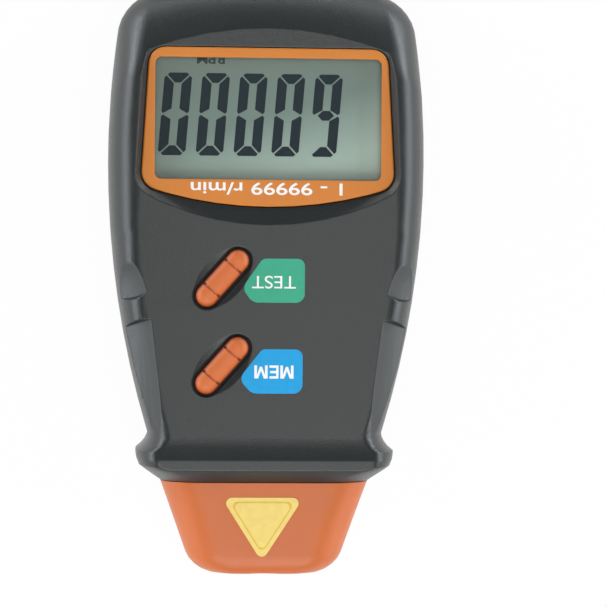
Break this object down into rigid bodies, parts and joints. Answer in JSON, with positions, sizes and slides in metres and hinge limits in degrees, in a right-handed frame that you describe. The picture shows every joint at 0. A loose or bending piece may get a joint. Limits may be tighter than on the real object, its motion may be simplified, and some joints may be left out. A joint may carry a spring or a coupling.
{
  "type": "laser tachometer",
  "caption": "Hand-held non-contact tachometer: bowed split case, framed liquid crystal display, slanted press keys, tapered nose with receiver lens and laser, sliding battery door.",
  "frame": {"origin": "under the middle of the case, on the surface that its back rests on", "axes": "+Z out of the front face, +Y towards the tail (display end), -Y towards the nose and its optics"},
  "size_m": [0.07, 0.131, 0.0291],
  "materials": {
    "case_plastic": "fine moulded texture",
    "nose_plastic": "satin",
    "bezel_plastic": "satin",
    "key_rubber": "satin",
    "clear_window": "clear",
    "display_glass": "grey-green polariser",
    "contact_rubber": "silicone",
    "board": "solder mask",
    "black_plastic": "moulded",
    "ivory_plastic": "moulded",
    "steel": "zinc plated",
    "brass": "turned",
    "lens_glass": "clear",
    "sensor_epoxy": "dark epoxy",
    "battery_jacket": "printed metal, bare",
    "capacitor_sleeve": "shrunk sleeve",
    "red_wire": "PVC",
    "black_wire": "PVC"
  },
  "bodies": {
    "housing": {"front_shell": "case_plastic", "rear_shell": "case_plastic", "nose_cap": "nose_plastic", "display_bezel": "bezel_plastic", "display_window": "clear_window", "lcd_panel": "display_glass", "lcd_strip_tail": "contact_rubber", "lcd_strip_nose": "contact_rubber", "main_board": "board", "controller_chip": "black_plastic", "crystal": "steel", "capacitor": "capacitor_sleeve", "test_switch": "black_plastic", "mem_switch": "black_plastic", "battery": "battery_jacket", "battery_snap": "black_plastic", "red_lead": "red_wire", "black_lead": "black_wire", "receiver_lens": "lens_glass", "lens_tube": "black_plastic", "laser_module": "brass", "photo_sensor": "sensor_epoxy", "optics_carrier": "black_plastic", "optics_board": "board", "case_screws": "steel", "board_screws": "steel"},
    "test_key": {"test_key": "key_rubber", "test_plunger": "ivory_plastic"},
    "mem_key": {"mem_key": "key_rubber", "mem_plunger": "ivory_plastic"},
    "battery_door": {"battery_door": "case_plastic"}
  },
  "joints": [
    {"name": "test_press", "type": "slide", "parent": "housing", "child": "test_key", "axis": [0, 0, -1], "range_m": [0, 0.0005], "stiffness_N_per_m": 800, "springref_m": -0.0004},
    {"name": "mem_press", "type": "slide", "parent": "housing", "child": "mem_key", "axis": [0, 0, -1], "range_m": [0, 0.0005], "stiffness_N_per_m": 800, "springref_m": -0.0004},
    {"name": "door_slide", "type": "slide", "parent": "housing", "child": "battery_door", "axis": [0, 1, 0], "range_m": [0, 0.052]}
  ]
}
